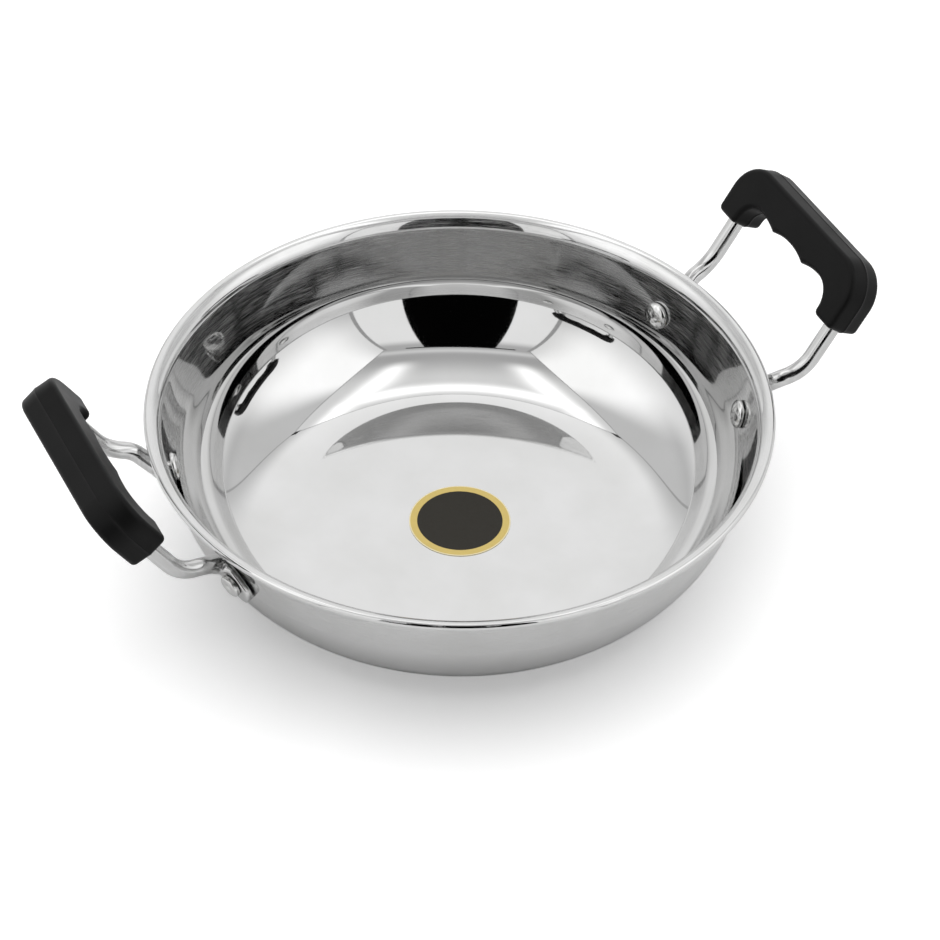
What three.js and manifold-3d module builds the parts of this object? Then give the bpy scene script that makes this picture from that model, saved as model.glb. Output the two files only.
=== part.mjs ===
// Two-handled stainless steel pan: a drawn bowl, bent rod handles, moulded grips and rivets
import * as THREE from 'three';
import { mergeVertices } from 'three/addons/utils/BufferGeometryUtils.js';
import Module from 'manifold-3d';

// Driving dimensions in millimetres and degrees

// Bowl
const RIM_RADIUS = 126;        // outside of the turned-down lip
const BOWL_DEPTH = 64.2;       // top of the lip down to the inside of the floor
const SHEET = 1;               // wall thickness
const BOWL_CURVE = 47.5;       // inside radius between the floor and the neck
const NECK_SLOPE = 78.4;       // neck wall above the horizontal
const FLARE_RADIUS = 6;        // underside radius where the neck opens into the lip
const LIP_SLOPE = 14;          // lip above the horizontal where the edge turns down
const ROLL_RADIUS = 0.4;       // underside radius of the turned-down edge
const EDGE_DROP = 1.0;         // straight skirt below that turn

// Rivets
const RIVET_ABOVE_FOOT = 5.6;  // rivet centre above the foot of the neck
const RIVET_SPREAD = 35.3;     // rivet centre to the handle's middle plane, on the wall's outside
const SHANK_DIAMETER = 5;
const HEAD_DIAMETER = 11.5;    // domed head inside the bowl
const HEAD_HEIGHT = 3;
const HEAD_EDGE = 0.7;         // upright edge below the dome
const TAIL_DIAMETER = 9.5;     // upset end outside
const TAIL_HEIGHT = 2;
const DIMPLE_DIAMETER = 4.4;   // punch mark in the upset end
const DIMPLE_DEPTH = 0.6;

// Handle rods
const ROD_DIAMETER = 7;
const HANDLE_SPACING = 76.8;   // between the centrelines of the two legs
const HANDLE_INCLINE = 57.7;   // legs above the horizontal
const ELBOW_OUT = 10.6;        // elbow beyond the rim
const ELBOW_DROP = 3.8;        // elbow below the top of the lip
const ELBOW_BEND = 18;
const BAR_REACH = 42;          // elbow to the crossbar's centreline, along the leg
const BAR_BEND = 9;
const CROSSING_DROP = 7;       // rod's centreline below the top of the lip where it passes the rim
const CROSSING_IN = 2.4;       // how much closer to the middle the rod passes the rim than the legs stand
const CROSSING_BEND = 12;
const TAB_WIDTH = 12;          // flattened ends
const TAB_THICKNESS = 3;
const TAB_SQUARENESS = 5;      // 2 gives an oval section, larger values a flatter one
const TAB_SLOPE = 47;          // flattened ends below the horizontal
const TAB_TIP = 9.2;           // rivet centre to the rounded tip
const TAB_FLAT = 5.4;          // flat length behind the rivet centre
const TAB_ROOT = 10.2;         // rivet centre back to the bend
const ROOT_BEND = 4.6;

// Moulded grips, measured in the plane of the legs
const GRIP_THICKNESS = 16.3;
const GRIP_LEG_WIDTH = 14.1;
const GRIP_LEG_STRAIGHT = 0.5; // straight inner side of a leg between its two rounded corners
const GRIP_COVER = 8.9;        // crossbar centreline to the outer edge
const GRIP_DEPTH = 16.1;       // outer edge to the deepest line of the finger hollows
const GRIP_CORNER = 15.6;      // outer corner radius
const GRIP_INNER_CORNER = 8.7; // radius between the hollows and the legs
const GRIP_EDGE = 2.2;         // rounding of the long edges
const GRIP_DRAFT = 7;          // mould draft of the sides, away from the parting plane
const HOLLOW_DEPTH = 2.2;      // finger hollow below its ridges

// Label
const LABEL_DIAMETER = 42;
const LABEL_FORWARD = 1.6;     // label centre in front of the floor's centre
const LABEL_THICKNESS = 0.3;

// Clearance between fitted pieces
const FIT_GAP = 0.3;

// Facets
const ROUND_STEPS = 64;        // around the bowl
const ROD_SIDES = 12;
const RIVET_SIDES = 16;
const BEND_STEP = THREE.MathUtils.degToRad(15);

// Derived values
const neckSlope = THREE.MathUtils.degToRad(NECK_SLOPE);
const lipSlope = THREE.MathUtils.degToRad(LIP_SLOPE);
const tabSlope = THREE.MathUtils.degToRad(TAB_SLOPE);
const incline = THREE.MathUtils.degToRad(HANDLE_INCLINE);
const crest = BOWL_DEPTH + SHEET;
const legHalf = HANDLE_SPACING / 2;
const rodRadius = ROD_DIAMETER / 2;
const rollTop = ROLL_RADIUS + SHEET;
const flareTop = FLARE_RADIUS + SHEET;
const elbow = new THREE.Vector3(RIM_RADIUS + ELBOW_OUT, legHalf, crest - ELBOW_DROP);
const legDirection = new THREE.Vector3(Math.cos(incline), 0, Math.sin(incline));
const gripSide = GRIP_THICKNESS / 2 - GRIP_EDGE;
const gripDraft = gripSide * Math.tan(THREE.MathUtils.degToRad(GRIP_DRAFT));

// Bowl section: a point at a distance above an arc's centre where the sheet has the given slope
function sheetPoint(centre, distance, slope) {
  const x = centre.x - distance * Math.sin(slope);
  const y = centre.y + distance * Math.cos(slope);
  return new THREE.Vector2(x, y);
}

const rollCentre = new THREE.Vector2(RIM_RADIUS - rollTop, crest - rollTop);
const flareCentre = sheetPoint(rollCentre, rollTop - flareTop, lipSlope);
const neckTop = sheetPoint(flareCentre, flareTop, neckSlope);
const neckFootHeight = SHEET + BOWL_CURVE * (1 - Math.cos(neckSlope));
const neckFootRadius = neckTop.x - (neckTop.y - neckFootHeight) / Math.tan(neckSlope);
const bowlCentre = new THREE.Vector2(neckFootRadius - BOWL_CURVE * Math.sin(neckSlope), SHEET + BOWL_CURVE);

function arcPoints(centre, distance, fromSlope, toSlope, steps) {
  const points = [];
  for (let step = 0; step <= steps; step += 1) {
    const slope = THREE.MathUtils.lerp(fromSlope, toSlope, step / steps);
    points.push(sheetPoint(centre, distance, slope));
  }
  return points;
}

// One skin of the sheet from the axis to the lip's edge, at a depth below the inside skin
function sheetSkin(depth) {
  const skin = [
    new THREE.Vector2(0, SHEET - depth),
    ...arcPoints(bowlCentre, -(BOWL_CURVE + depth), 0, neckSlope, 11),
    ...arcPoints(flareCentre, flareTop - depth, neckSlope, lipSlope, 5),
    ...arcPoints(rollCentre, rollTop - depth, lipSlope, 0, 1).slice(1),
    ...arcPoints(rollCentre, rollTop - depth, 0, -Math.PI / 2, 3).slice(1),
  ];
  const last = skin[skin.length - 1];
  skin.push(new THREE.Vector2(last.x, last.y - EDGE_DROP));
  return skin;
}

// Solid helpers
const wasm = await Module();
wasm.setup();

// Joins matching points, drops collapsed triangles and turns every face outwards
function closedSolid(source) {
  const bare = source.clone();
  bare.deleteAttribute('normal');
  bare.deleteAttribute('uv');
  const merged = mergeVertices(bare, 1e-4);
  const place = merged.getAttribute('position');
  const corners = merged.getIndex().array;
  const kept = [];
  let volume = 0;
  for (let start = 0; start < corners.length; start += 3) {
    const [a, b, c] = corners.slice(start, start + 3);
    if (a === b || b === c || c === a) {
      continue;
    }
    kept.push([a, b, c]);
    const [first, second, third] = [a, b, c].map((i) => new THREE.Vector3().fromBufferAttribute(place, i));
    volume += first.dot(second.cross(third));
  }
  const faces = volume < 0 ? kept.map(([a, b, c]) => [a, c, b]) : kept;
  merged.setIndex(faces.flat());
  return merged;
}

function toManifold(geometry) {
  const solid = closedSolid(geometry);
  const mesh = new wasm.Mesh({
    numProp: 3,
    vertProperties: new Float32Array(solid.getAttribute('position').array),
    triVerts: new Uint32Array(solid.getIndex().array),
  });
  return new wasm.Manifold(mesh);
}

function fromManifold(manifold) {
  const mesh = manifold.getMesh();
  const geometry = new THREE.BufferGeometry();
  geometry.setAttribute('position', new THREE.BufferAttribute(new Float32Array(mesh.vertProperties), 3));
  geometry.setIndex(new THREE.BufferAttribute(new Uint32Array(mesh.triVerts), 1));
  return geometry;
}

function cutAway(base, tools) {
  let result = toManifold(base);
  for (const tool of tools) {
    result = result.subtract(toManifold(tool));
  }
  return fromManifold(result);
}

// Solid through matching rings of points, closed at both ends with the given triangles of a ring
function loft(rings, cap) {
  const sides = rings[0].length;
  const positions = rings.flat().flatMap((point) => point.toArray());
  const index = [];
  for (let ring = 0; ring + 1 < rings.length; ring += 1) {
    for (let side = 0; side < sides; side += 1) {
      const a = ring * sides + side;
      const b = ring * sides + (side + 1) % sides;
      index.push(a, b, a + sides, b, b + sides, a + sides);
    }
  }
  const lastRing = (rings.length - 1) * sides;
  for (const [a, b, c] of cap) {
    index.push(a, c, b);
    index.push(lastRing + a, lastRing + b, lastRing + c);
  }
  const geometry = new THREE.BufferGeometry();
  geometry.setAttribute('position', new THREE.Float32BufferAttribute(positions, 3));
  geometry.setIndex(index);
  return geometry;
}

// Triangles that fill a ring without hollows
function fan(sides) {
  const triangles = [];
  for (let side = 1; side + 1 < sides; side += 1) {
    triangles.push([0, side, side + 1]);
  }
  return triangles;
}

// Stations along straight lines joined by bends; each corner has a place and a bend radius
function bentPath(corners) {
  const heading = (from, to) => to.at.clone().sub(from.at).normalize();
  const stations = [{ point: corners[0].at, direction: heading(corners[0], corners[1]) }];
  for (let i = 1; i + 1 < corners.length; i += 1) {
    const before = heading(corners[i - 1], corners[i]);
    const after = heading(corners[i], corners[i + 1]);
    const turn = before.angleTo(after);
    if (turn < 1e-4) {
      stations.push({ point: corners[i].at, direction: before });
      continue;
    }
    const bend = corners[i].bend;
    const side = after.clone().addScaledVector(before, -Math.cos(turn)).normalize();
    const start = corners[i].at.clone().addScaledVector(before, -bend * Math.tan(turn / 2));
    const centre = start.addScaledVector(side, bend);
    const steps = Math.ceil(turn / BEND_STEP);
    for (let step = 0; step <= steps; step += 1) {
      const angle = turn * step / steps;
      const point = centre.clone();
      point.addScaledVector(side, -bend * Math.cos(angle));
      point.addScaledVector(before, bend * Math.sin(angle));
      const direction = before.clone().multiplyScalar(Math.cos(angle));
      direction.addScaledVector(side, Math.sin(angle));
      stations.push({ point, direction });
    }
  }
  const end = corners.length - 1;
  stations.push({ point: corners[end].at, direction: heading(corners[end - 1], corners[end]) });
  return stations;
}

// Rivet frame on the neck: x along the wall's outward normal, y around the bowl, z up the wall
function rivetFrame(side) {
  const height = neckFootHeight + RIVET_ABOVE_FOOT;
  const rise = height - (neckTop.y - SHEET * Math.cos(neckSlope));
  const radius = neckTop.x + SHEET * Math.sin(neckSlope) + rise / Math.tan(neckSlope);
  const angle = side * Math.asin(RIVET_SPREAD / radius);
  const outward = new THREE.Vector3(Math.cos(angle), Math.sin(angle), 0);
  const around = new THREE.Vector3(-Math.sin(angle), Math.cos(angle), 0);
  const normal = outward.clone().multiplyScalar(Math.sin(neckSlope));
  normal.z = -Math.cos(neckSlope);
  const upWall = normal.clone().cross(around);
  const frame = new THREE.Matrix4().makeBasis(normal, around, upWall);
  frame.setPosition(radius * outward.x, radius * outward.y, height);
  return frame;
}

// Turned solid whose axis is the frame's x axis; the profile holds radius and height pairs
function turned(profile, frame, sides) {
  const points = profile.map(([radius, height]) => new THREE.Vector2(radius, height));
  const geometry = new THREE.LatheGeometry(points, sides);
  geometry.rotateZ(-Math.PI / 2);
  geometry.applyMatrix4(frame);
  return geometry;
}

function rivetHole(frame) {
  const radius = SHANK_DIAMETER / 2 + FIT_GAP;
  const reach = HEAD_DIAMETER;
  const profile = [[0, -reach], [radius, -reach], [radius, reach], [0, reach]];
  return turned(profile, frame, RIVET_SIDES);
}

const halfTurn = new THREE.Matrix4().makeRotationZ(Math.PI);

// Bowl with four rivet holes
function bowlGeometry() {
  const profile = [...sheetSkin(0), ...sheetSkin(SHEET).reverse()];
  const bowl = new THREE.LatheGeometry(profile, ROUND_STEPS);
  bowl.rotateX(Math.PI / 2);
  const holes = [];
  for (const side of [-1, 1]) {
    const frame = rivetFrame(side);
    holes.push(rivetHole(frame));
    holes.push(rivetHole(halfTurn.clone().multiply(frame)));
  }
  return cutAway(bowl, holes);
}

// Rivet with a domed head inside the bowl and a dimpled upset end outside
function rivetGeometry(side) {
  const headRadius = HEAD_DIAMETER / 2;
  const belowFoot = Math.max(0, headRadius - RIVET_ABOVE_FOOT);
  const sagAround = headRadius * headRadius / (2 * neckFootRadius);
  const sagBelow = belowFoot * belowFoot / (2 * BOWL_CURVE);
  const headSeat = -SHEET - Math.max(sagAround, sagBelow) - FIT_GAP;
  const tailSeat = TAB_THICKNESS + 2 * FIT_GAP;
  const tailRadius = TAIL_DIAMETER / 2;
  const shankRadius = SHANK_DIAMETER / 2;
  const dimpleRadius = DIMPLE_DIAMETER / 2;
  const tailTop = tailSeat + TAIL_HEIGHT;
  const profile = [];
  for (let step = 0; step <= 5; step += 1) {
    const angle = Math.PI / 2 * (1 - step / 5);
    const dome = HEAD_EDGE + (HEAD_HEIGHT - HEAD_EDGE) * Math.sin(angle);
    profile.push([headRadius * Math.cos(angle), headSeat - dome]);
  }
  profile.push([headRadius, headSeat]);
  profile.push([shankRadius, headSeat], [shankRadius, tailSeat]);
  profile.push([tailRadius, tailSeat], [tailRadius, tailTop - TAIL_HEIGHT / 3]);
  profile.push([tailRadius - TAIL_HEIGHT / 3, tailTop], [dimpleRadius, tailTop]);
  profile.push([dimpleRadius - DIMPLE_DEPTH / 2, tailTop - DIMPLE_DEPTH], [0, tailTop - DIMPLE_DEPTH]);
  profile[0][0] = 0;
  return turned(profile, rivetFrame(side), RIVET_SIDES);
}

// Handle rod with flattened, pierced ends
function halfRodCorners() {
  const frame = rivetFrame(1);
  const onTab = (along, lift) => {
    const point = new THREE.Vector3(lift, along * Math.cos(tabSlope), -along * Math.sin(tabSlope));
    return point.applyMatrix4(frame);
  };
  const tabLift = FIT_GAP + TAB_THICKNESS / 2;
  const corners = [];
  for (const degrees of [80, 60, 35, 0]) {
    const past = TAB_TIP - TAB_WIDTH / 2 * (1 - Math.sin(THREE.MathUtils.degToRad(degrees)));
    corners.push({ at: onTab(past, tabLift), bend: 0 });
  }
  corners.push({ at: onTab(-TAB_FLAT, tabLift), bend: rodRadius });
  corners.push({ at: onTab(-TAB_ROOT, FIT_GAP + rodRadius), bend: ROOT_BEND });
  const crossing = new THREE.Vector3(RIM_RADIUS, legHalf - CROSSING_IN, crest - CROSSING_DROP);
  corners.push({ at: crossing, bend: CROSSING_BEND });
  corners.push({ at: elbow, bend: ELBOW_BEND });
  corners.push({ at: elbow.clone().addScaledVector(legDirection, BAR_REACH), bend: BAR_BEND });
  return corners;
}

function mirrored(corner) {
  return { at: corner.at.clone().multiply(new THREE.Vector3(1, -1, 1)), bend: corner.bend };
}

// Ring of points round a station: 'round' runs from 0 on the flat tab to 1 on the plain rod
function rodSection(station, round, width, thickness) {
  const frame = rivetFrame(Math.sign(station.point.y));
  const normal = new THREE.Vector3().setFromMatrixColumn(frame, 0);
  const upWall = new THREE.Vector3().setFromMatrixColumn(frame, 2);
  const flatAcross = normal.projectOnPlane(station.direction).normalize().negate();
  const roundAcross = station.direction.clone().cross(upWall).normalize();
  const across = flatAcross.lerp(roundAcross, round).normalize();
  const along = across.clone().cross(station.direction);
  const power = 2 / THREE.MathUtils.lerp(TAB_SQUARENESS, 2, round);
  const shaped = (value) => Math.sign(value) * Math.abs(value) ** power;
  const ring = [];
  for (let side = 0; side < ROD_SIDES; side += 1) {
    const angle = 2 * Math.PI * (side + 0.5) / ROD_SIDES;
    const point = station.point.clone();
    point.addScaledVector(along, width / 2 * shaped(Math.cos(angle)));
    point.addScaledVector(across, thickness / 2 * shaped(Math.sin(angle)));
    ring.push(point);
  }
  return ring;
}

function rodGeometry() {
  const half = halfRodCorners();
  const path = bentPath([...half, ...half.map(mirrored).reverse()]);
  const travelled = [0];
  for (let i = 1; i < path.length; i += 1) {
    travelled.push(travelled[i - 1] + path[i].point.distanceTo(path[i - 1].point));
  }
  const total = travelled[path.length - 1];
  const tipStart = half[0].at.distanceTo(half[3].at);
  const flatEnd = half[0].at.distanceTo(half[4].at);
  const blend = half[4].at.distanceTo(half[5].at);
  const rings = path.map((station, i) => {
    const fromTip = Math.min(travelled[i], total - travelled[i]);
    const round = THREE.MathUtils.clamp((fromTip - flatEnd) / blend, 0, 1);
    const inTip = Math.max(0, 1 - fromTip / tipStart) * Math.sin(THREE.MathUtils.degToRad(80));
    const tabWidth = TAB_WIDTH * Math.sqrt(1 - inTip * inTip);
    const width = THREE.MathUtils.lerp(tabWidth, ROD_DIAMETER, round);
    const thickness = THREE.MathUtils.lerp(TAB_THICKNESS, ROD_DIAMETER, round);
    return rodSection(station, round, width, thickness);
  });
  const holes = [-1, 1].map((side) => rivetHole(rivetFrame(side)));
  return cutAway(loft(rings, fan(ROD_SIDES)), holes);
}

// Channel that the rod fills in the grip
function rodChannel() {
  const legFoot = { at: elbow, bend: 0 };
  const barCorner = { at: elbow.clone().addScaledVector(legDirection, BAR_REACH), bend: BAR_BEND };
  const path = bentPath([legFoot, barCorner, mirrored(barCorner), mirrored(legFoot)]);
  const bore = ROD_DIAMETER + 2 * FIT_GAP;
  const rings = path.map((station) => rodSection(station, 1, bore, bore));
  return loft(rings, fan(ROD_SIDES));
}

// Grip outline at the parting plane, x along the crossbar and y up the legs from the elbow
function gripOutline() {
  const outside = legHalf + GRIP_LEG_WIDTH / 2;
  const inside = legHalf - GRIP_LEG_WIDTH / 2;
  const top = BAR_REACH + GRIP_COVER;
  const hollow = top - GRIP_DEPTH;
  const inner = GRIP_INNER_CORNER;
  const round = gripDraft + GRIP_EDGE + FIT_GAP;
  const legEnd = hollow - inner - GRIP_LEG_STRAIGHT;
  const pitch = inside - inner;
  const hollowRadius = (pitch * pitch / 4 + HOLLOW_DEPTH * HOLLOW_DEPTH) / (2 * HOLLOW_DEPTH);
  const hollowCentre = hollow - hollowRadius;
  const spread = Math.asin(pitch / 2 / hollowRadius);
  const right = Math.PI / 2;
  const shape = new THREE.Shape();
  shape.moveTo(outside, legEnd);
  shape.absarc(outside - GRIP_CORNER, top - GRIP_CORNER, GRIP_CORNER, 0, right, false);
  shape.absarc(GRIP_CORNER - outside, top - GRIP_CORNER, GRIP_CORNER, right, 2 * right, false);
  shape.absarc(round - outside, legEnd, round, 2 * right, 3 * right, false);
  shape.absarc(-inside - round, legEnd, round, -right, 0, false);
  shape.absarc(inner - inside, hollow - inner, inner, 2 * right, right, true);
  shape.absarc(-pitch, hollowCentre, hollowRadius, right, right - spread, true);
  shape.absarc(0, hollowCentre, hollowRadius, right + spread, right - spread, true);
  shape.absarc(pitch, hollowCentre, hollowRadius, right + spread, right, true);
  shape.absarc(inside - inner, hollow - inner, inner, right, 0, true);
  shape.absarc(inside + round, legEnd, round, 2 * right, 3 * right, false);
  shape.absarc(outside - round, legEnd, round, -right, 0, false);
  const points = shape.getPoints(3);
  return points.filter((point, i) => point.distanceTo(points.at(i - 1)) > 1e-6);
}

// The same outline drawn in by an equal distance all round
function insetOutline(outline, inset) {
  return outline.map((point, i) => {
    const before = point.clone().sub(outline.at(i - 1)).normalize();
    const after = outline[(i + 1) % outline.length].clone().sub(point).normalize();
    const mitre = new THREE.Vector2(-before.y - after.y, before.x + after.x).normalize();
    const reach = inset / (mitre.y * before.x - mitre.x * before.y);
    return point.clone().addScaledVector(mitre, reach);
  });
}

// Moulded grip with finger hollows, drafted sides, rounded edges and the rod's channel
function gripGeometry() {
  const halfSection = [[gripSide, gripDraft]];
  for (const degrees of [30, 60, 90]) {
    const angle = THREE.MathUtils.degToRad(degrees);
    const level = gripSide + GRIP_EDGE * Math.sin(angle);
    halfSection.push([level, gripDraft + GRIP_EDGE * (1 - Math.cos(angle))]);
  }
  const lower = halfSection.map(([level, inset]) => [-level, inset]).reverse();
  const outline = gripOutline();
  const crossbar = new THREE.Vector3(0, 1, 0);
  const frame = new THREE.Matrix4().makeBasis(crossbar, legDirection, crossbar.clone().cross(legDirection));
  frame.setPosition(elbow.x, 0, elbow.z);
  const rings = [...lower, [0, 0], ...halfSection].map(([level, inset]) => {
    const ring = insetOutline(outline, inset);
    return ring.map((point) => new THREE.Vector3(point.x, point.y, level).applyMatrix4(frame));
  });
  const face = THREE.ShapeUtils.triangulateShape(insetOutline(outline, gripDraft + GRIP_EDGE), []);
  return cutAway(loft(rings, face), [rodChannel()]);
}

// Plain round label on the floor
function labelGeometry() {
  const radius = LABEL_DIAMETER / 2;
  const label = new THREE.CylinderGeometry(radius, radius, LABEL_THICKNESS, ROUND_STEPS);
  label.rotateX(Math.PI / 2);
  label.translate(0, -LABEL_FORWARD, SHEET + LABEL_THICKNESS / 2);
  return label;
}

// Materials
function material(color, roughness, metalness) {
  return new THREE.MeshStandardMaterial({ color, roughness, metalness });
}

const bowlSteel = () => material(0xc9c9c7, 0.08, 1);
const rodSteel = () => material(0xbfbfbd, 0.15, 1);
const rivetSteel = () => material(0xcfcecb, 0.2, 1);
const gripBlack = () => material(0x17171a, 0.4, 0);
const labelInk = () => material(0x1b1a19, 0.5, 0);

// Assembly
const pan = new THREE.Group();
pan.name = 'stainless_steel_pan';

function addPiece(name, geometry, finish, turn) {
  const solid = closedSolid(geometry);
  if (turn) {
    solid.applyMatrix4(halfTurn);
  }
  const flat = solid.toNonIndexed();
  flat.computeVertexNormals();
  const piece = new THREE.Mesh(flat, finish);
  piece.name = name;
  pan.add(piece);
}

addPiece('pan_body', bowlGeometry(), bowlSteel(), false);
for (const [hand, turn] of [['right', false], ['left', true]]) {
  addPiece(`handle_rod_${hand}`, rodGeometry(), rodSteel(), turn);
  addPiece(`handle_grip_${hand}`, gripGeometry(), gripBlack(), turn);
  for (const side of [-1, 1]) {
    const place = (side > 0) === turn ? 'front' : 'back';
    addPiece(`rivet_${hand}_${place}`, rivetGeometry(side), rivetSteel(), turn);
  }
}
addPiece('label_disc', labelGeometry(), labelInk(), false);

export default pan;
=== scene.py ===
"""Two-handled stainless steel pan: smooth pieces, finishes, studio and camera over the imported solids."""
import math

import bmesh
import bpy
import numpy as np
from mathutils import Matrix, Vector, noise


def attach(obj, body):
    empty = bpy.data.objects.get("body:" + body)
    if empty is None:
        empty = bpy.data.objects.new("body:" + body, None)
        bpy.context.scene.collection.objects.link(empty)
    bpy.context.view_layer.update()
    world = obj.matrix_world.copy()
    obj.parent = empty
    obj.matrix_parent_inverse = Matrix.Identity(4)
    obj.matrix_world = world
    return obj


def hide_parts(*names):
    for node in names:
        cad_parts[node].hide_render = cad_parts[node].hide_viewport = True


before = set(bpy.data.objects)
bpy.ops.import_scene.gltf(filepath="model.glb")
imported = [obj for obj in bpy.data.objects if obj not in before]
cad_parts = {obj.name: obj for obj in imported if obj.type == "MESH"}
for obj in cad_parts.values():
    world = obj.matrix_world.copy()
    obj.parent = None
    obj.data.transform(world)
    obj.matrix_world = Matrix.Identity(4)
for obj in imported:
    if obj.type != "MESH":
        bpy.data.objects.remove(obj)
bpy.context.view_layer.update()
scene = bpy.context.scene
MM = 0.001

# Sizes of the part's source, in millimetres, with angles turned into radians

# Bowl
RIM_RADIUS = 126
BOWL_DEPTH = 64.2
SHEET = 1.0
BOWL_CURVE = 47.5
NECK_SLOPE = math.radians(78.4)
FLARE_RADIUS = 6
LIP_SLOPE = math.radians(14)
ROLL_RADIUS = 0.4
EDGE_DROP = 1.0

# Rivets
RIVET_ABOVE_FOOT = 5.6
RIVET_SPREAD = 35.3
SHANK_RADIUS = 2.5
HEAD_RADIUS = 5.75
HEAD_HEIGHT = 3
HEAD_EDGE = 0.7
TAIL_RADIUS = 4.75
TAIL_HEIGHT = 2
DIMPLE_RADIUS = 2.2
DIMPLE_DEPTH = 0.6

# Handle rods
ROD_DIAMETER = 7
LEG_HALF = 38.4
INCLINE = math.radians(57.7)
ELBOW_OUT = 10.6
ELBOW_DROP = 3.8
ELBOW_BEND = 18
BAR_REACH = 42
BAR_BEND = 9
CROSSING_DROP = 7
CROSSING_IN = 2.4
CROSSING_BEND = 12
TAB_WIDTH = 12
TAB_THICKNESS = 3
TAB_SQUARENESS = 5
TAB_SLOPE = math.radians(47)
TAB_TIP = 9.2
TAB_FLAT = 5.4
TAB_ROOT = 10.2
ROOT_BEND = 4.6

# Moulded grips
GRIP_THICKNESS = 16.3
GRIP_LEG_WIDTH = 14.1
GRIP_LEG_STRAIGHT = 0.5
GRIP_COVER = 8.9
GRIP_DEPTH = 16.1
GRIP_CORNER = 15.6
GRIP_INNER_CORNER = 8.7
GRIP_EDGE = 2.2
GRIP_DRAFT = math.radians(7)
HOLLOW_DEPTH = 2.2

# Label and clearance
LABEL_RADIUS = 21
LABEL_FORWARD = 1.6
LABEL_THICKNESS = 0.3
FIT_GAP = 0.3

# Fine shapes that only the scene has: the neck's hollow, the rivets' edges and dents, the grips' ridge
NECK_BOW = math.radians(1.5)
BROKEN_EDGE = 0.15
DIMPLE_RIM = 0.3
DENT_DEPTH = 0.28
DENTS_PER_MM = 0.55
RIDGE_HEIGHT = 0.14
RIDGE_HALF = 0.22
FACE_STEP = 0.2

# Fineness of the meshes, and how far the tool for the rivets' holes reaches
FLOOR_SHARES = (0, 0.2, 0.4, 0.6, 0.8, 0.93, 0.99)
TIP_DEGREES = (88, 82, 75, 67, 58, 48, 37, 25, 12, 0)
BOWL_STEPS = 288
RIVET_STEPS = 48
LABEL_STEPS = 192
HOLE_STEPS = 40
ROD_SIDES = 32
HOLE_REACH = 8

# Derived values
CREST = BOWL_DEPTH + SHEET
ROD_RADIUS = ROD_DIAMETER / 2
ROLL_TOP = ROLL_RADIUS + SHEET
FLARE_TOP = FLARE_RADIUS + SHEET
ELBOW = np.array([RIM_RADIUS + ELBOW_OUT, LEG_HALF, CREST - ELBOW_DROP])
LEG_DIRECTION = np.array([math.cos(INCLINE), 0, math.sin(INCLINE)])
BAR_CORNER = ELBOW + BAR_REACH * LEG_DIRECTION
GRIP_SIDE = GRIP_THICKNESS / 2 - GRIP_EDGE
GRIP_INSET = GRIP_SIDE * math.tan(GRIP_DRAFT)
OTHER_SIDE = np.array([1, -1, 1])
HALF_TURN = np.array([-1, -1, 1])


# Mesh helpers
def unit(vector):
    return vector / np.linalg.norm(vector)


def mesh_object(name, points, faces):
    """A new mesh object from points in millimetres, with its faces turned outwards."""
    mesh = bpy.data.meshes.new(name)
    mesh.from_pydata([tuple(p) for p in np.asarray(points) * MM], [], faces)
    shape = bmesh.new()
    shape.from_mesh(mesh)
    bmesh.ops.recalc_face_normals(shape, faces=shape.faces)
    shape.to_mesh(mesh)
    shape.free()
    obj = bpy.data.objects.new(name, mesh)
    scene.collection.objects.link(obj)
    return obj


def smooth(obj, angle):
    """Smooth shading, with edges sharper than the angle kept crisp."""
    obj.data.shade_smooth()
    obj.data.set_sharp_from_angle(angle=math.radians(angle))


def cut(obj, tools):
    """Takes the tool objects away from an object and deletes them."""
    for tool in tools:
        modifier = obj.modifiers.new("cut", "BOOLEAN")
        modifier.operation = "DIFFERENCE"
        modifier.solver = "EXACT"
        modifier.object = tool
    bpy.context.view_layer.update()
    graph = bpy.context.evaluated_depsgraph_get()
    result = bpy.data.meshes.new_from_object(obj.evaluated_get(graph))
    obj.modifiers.clear()
    old = obj.data
    obj.data = result
    result.name = obj.name
    bpy.data.meshes.remove(old)
    for tool in tools:
        mesh = tool.data
        bpy.data.objects.remove(tool)
        bpy.data.meshes.remove(mesh)


def lathe(profile, steps):
    """Points and faces of a (radius, height) profile turned round the z axis; radius 0 makes one point."""
    points = []
    rings = []
    for radius, height in profile:
        start = len(points)
        if radius == 0:
            points.append((0, 0, height))
            rings.append([start] * steps)
            continue
        for step in range(steps):
            angle = 2 * math.pi * step / steps
            points.append((radius * math.cos(angle), radius * math.sin(angle), height))
        rings.append(list(range(start, start + steps)))
    faces = []
    for low, high in zip(rings, rings[1:]):
        for step in range(steps):
            after = (step + 1) % steps
            corners = [low[step], low[after], high[after], high[step]]
            face = list(dict.fromkeys(corners))
            if len(face) > 2:
                faces.append(face)
    return np.array(points, float), faces


def loft(rings):
    """Points and faces through matching rings, with both ends closed."""
    sides = len(rings[0])
    faces = []
    for ring in range(len(rings) - 1):
        for side in range(sides):
            a = ring * sides + side
            b = ring * sides + (side + 1) % sides
            faces.append((a, b, b + sides, a + sides))
    faces.append(tuple(range(sides)))
    faces.append(tuple(range((len(rings) - 1) * sides, len(rings) * sides)))
    return np.concatenate(rings), faces


# Bowl
def sheet_point(centre, distance, slope):
    """The point at a distance above an arc's centre where the sheet has the given slope."""
    return centre[0] - distance * math.sin(slope), centre[1] + distance * math.cos(slope)


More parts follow.
